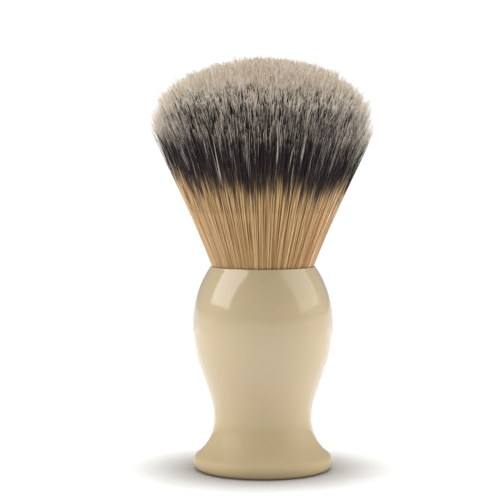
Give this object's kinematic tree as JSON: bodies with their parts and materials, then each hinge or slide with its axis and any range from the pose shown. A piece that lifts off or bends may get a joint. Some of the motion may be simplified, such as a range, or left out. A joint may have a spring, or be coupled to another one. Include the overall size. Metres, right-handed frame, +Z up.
{
  "type": "shaving brush",
  "caption": "Shaving brush: turned resin handle with waisted foot and a flared, domed knot of tri-colour synthetic bristles that bends in two directions.",
  "frame": {"origin": "centre of the handle's base, on the surface that the brush stands on", "axes": "+Z up along the brush's axis, from the base to the bristle tips; X and Y are the two bending directions, -Y to the front"},
  "size_m": [0.0558, 0.0558, 0.1056],
  "materials": {
    "handle_resin": "gloss",
    "adhesive": "gloss",
    "plug_resin": "satin",
    "cast_roots": "matte",
    "thread": "matte",
    "amber_bristle": "satin",
    "dark_bristle": "satin",
    "pale_bristle": "satin"
  },
  "bodies": {
    "handle": {"handle": "handle_resin", "socket_epoxy": "adhesive", "knot_plug": "plug_resin", "root_ends": "cast_roots", "binding_thread": "thread", "root_bristles": "amber_bristle"},
    "knot_neck": {"neck_bristles": "amber_bristle"},
    "knot_fan": {"dark_bristles": "dark_bristle", "tip_bristles": "pale_bristle"}
  },
  "joints": [
    {"name": "knot_bend_fore", "type": "hinge", "parent": "handle", "child": "knot_neck", "pos_m": [0, 0, 0.059], "axis": [1, 0, 0], "range_deg": [-20, 20], "stiffness_Nm_per_rad": 0.2},
    {"name": "knot_bend_side", "type": "hinge", "parent": "knot_neck", "child": "knot_fan", "pos_m": [0, 0, 0.066], "axis": [0, 1, 0], "range_deg": [-20, 20], "stiffness_Nm_per_rad": 0.2}
  ]
}
